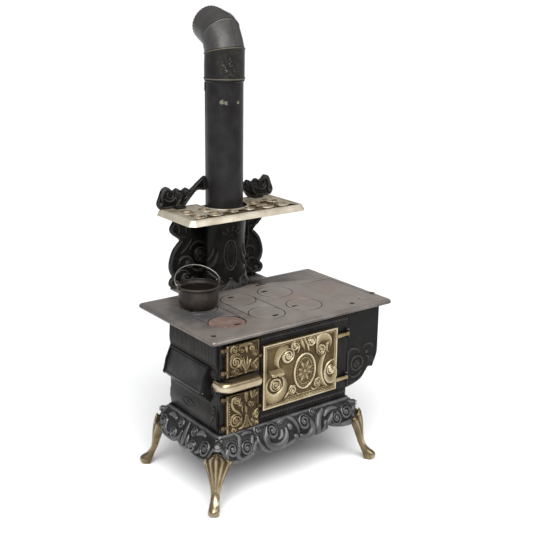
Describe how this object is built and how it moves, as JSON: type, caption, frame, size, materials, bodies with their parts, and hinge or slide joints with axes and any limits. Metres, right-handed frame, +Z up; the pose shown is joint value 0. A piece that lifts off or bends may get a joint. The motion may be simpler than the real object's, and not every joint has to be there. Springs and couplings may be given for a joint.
{
  "type": "toy cooking stove",
  "caption": "Cast iron toy cooking range with scalloped base, cabriole legs, hinged doors, lift-off lids, water reservoir, high shelf, stovepipe with elbow, and a kettle.",
  "frame": {"origin": "on the floor, under the middle of the bounding box of the whole stove at rest", "axes": "+X to the stove's right as seen from the front, +Y to its back, +Z up"},
  "size_m": [0.4592, 0.3874, 0.8834],
  "materials": {
    "black_iron": "satin black, worn",
    "deck_iron": "worn grey-brown",
    "rusty_iron": "rusted",
    "warm_nickel": "aged warm nickel plate",
    "pale_nickel": "aged pale nickel plate",
    "pipe_black": "satin black paint",
    "elbow_grey": "scuffed dark grey",
    "dark_iron": "dark brown-black",
    "bright_steel": "worn bright",
    "sheet_steel": "dull sheet"
  },
  "bodies": {
    "stove": {"ash_pan": "sheet_steel", "back_panel": "black_iron", "back_splat": "black_iron", "base_apron": "black_iron", "bottom_plate": "black_iron", "centre_piece_left": "deck_iron", "centre_piece_middle": "deck_iron", "cooktop": "deck_iron", "end_panel_left": "black_iron", "end_panel_right": "black_iron", "feed_door_pin": "bright_steel", "fire_grate": "dark_iron", "firebox_lining": "black_iron", "flue_box": "black_iron", "flue_collar": "black_iron", "front_panel": "black_iron", "front_rail": "warm_nickel", "high_shelf": "pale_nickel", "leg_back_left": "warm_nickel", "leg_back_left_bolt": "bright_steel", "leg_back_right": "warm_nickel", "leg_back_right_bolt": "bright_steel", "leg_front_left": "warm_nickel", "leg_front_left_bolt": "bright_steel", "leg_front_right": "warm_nickel", "leg_front_right_bolt": "bright_steel", "oven_box": "sheet_steel", "oven_door_pin_lower": "bright_steel", "oven_door_pin_upper": "bright_steel", "oven_rack": "bright_steel", "plate_screw_left": "dark_iron", "plate_screw_middle": "dark_iron", "plate_screw_right": "dark_iron", "reservoir_shell": "black_iron", "reservoir_tank": "sheet_steel", "shelf_bolt_left": "dark_iron", "shelf_bolt_right": "dark_iron", "shelf_crest": "black_iron", "splat_bolt_left": "dark_iron", "splat_bolt_right": "dark_iron", "stovepipe": "pipe_black"},
    "oven_door": {"oven_door": "warm_nickel"},
    "fire_door": {"fire_door": "warm_nickel"},
    "ash_door": {"ash_door": "warm_nickel"},
    "feed_door": {"feed_door": "black_iron"},
    "lid_front_left": {"lid_front_left": "rusty_iron"},
    "lid_rear_left": {"lid_rear_left": "deck_iron"},
    "lid_front_middle": {"lid_front_middle": "deck_iron"},
    "lid_rear_middle": {"lid_rear_middle": "deck_iron"},
    "lid_front_right": {"lid_front_right": "deck_iron"},
    "lid_rear_right": {"lid_rear_right": "deck_iron"},
    "kettle": {"kettle": "dark_iron"},
    "kettle_bail": {"kettle_bail": "bright_steel"},
    "reservoir_lid": {"reservoir_lid": "deck_iron"},
    "damper_slide": {"damper_slide": "dark_iron"},
    "elbow": {"elbow_sleeve": "pipe_black", "elbow_middle": "elbow_grey", "elbow_end": "elbow_grey"}
  },
  "joints": [
    {"name": "oven_door_swing", "type": "hinge", "parent": "stove", "child": "oven_door", "pos_m": [0.11999, -0.14879, 0.223], "axis": [0, 0, 1], "range_deg": [0, 110]},
    {"name": "fire_door_swing", "type": "hinge", "parent": "stove", "child": "fire_door", "pos_m": [-0.17611, -0.14879, 0.276], "axis": [0, 0, -1], "range_deg": [0, 100]},
    {"name": "ash_door_swing", "type": "hinge", "parent": "stove", "child": "ash_door", "pos_m": [-0.17611, -0.14879, 0.175], "axis": [0, 0, -1], "range_deg": [0, 100]},
    {"name": "feed_door_drop", "type": "hinge", "parent": "stove", "child": "feed_door", "pos_m": [-0.19751, -0.04679, 0.20892], "axis": [0, -1, 0], "range_deg": [0, 75]},
    {"name": "lid_front_left_lift", "type": "slide", "parent": "stove", "child": "lid_front_left", "axis": [0, 0, 1], "range_m": [0, 0.03]},
    {"name": "lid_rear_left_lift", "type": "slide", "parent": "stove", "child": "lid_rear_left", "axis": [0, 0, 1], "range_m": [0, 0.03]},
    {"name": "lid_front_middle_lift", "type": "slide", "parent": "stove", "child": "lid_front_middle", "axis": [0, 0, 1], "range_m": [0, 0.03]},
    {"name": "lid_rear_middle_lift", "type": "slide", "parent": "stove", "child": "lid_rear_middle", "axis": [0, 0, 1], "range_m": [0, 0.03]},
    {"name": "lid_front_right_lift", "type": "slide", "parent": "stove", "child": "lid_front_right", "axis": [0, 0, 1], "range_m": [0, 0.03]},
    {"name": "lid_rear_right_lift", "type": "slide", "parent": "stove", "child": "lid_rear_right", "axis": [0, 0, 1], "range_m": [0, 0.03]},
    {"name": "kettle_lift", "type": "slide", "parent": "lid_rear_left", "child": "kettle", "axis": [0, 0, 1], "range_m": [0, 0.03]},
    {"name": "kettle_bail_swing", "type": "hinge", "parent": "kettle", "child": "kettle_bail", "pos_m": [-0.11641, 0.02271, 0.3715], "axis": [0.9903, -0.1392, 0], "range_deg": [0, 148]},
    {"name": "reservoir_lid_lift", "type": "slide", "parent": "stove", "child": "reservoir_lid", "axis": [0, 0, 1], "range_m": [0, 0.04]},
    {"name": "damper_travel", "type": "slide", "parent": "stove", "child": "damper_slide", "axis": [1, 0, 0], "range_m": [-0.008, 0.008]},
    {"name": "elbow_turn", "type": "hinge", "parent": "stove", "child": "elbow", "pos_m": [0.01059, 0.12071, 0.745], "axis": [0, 0, 1], "continuous": true}
  ]
}
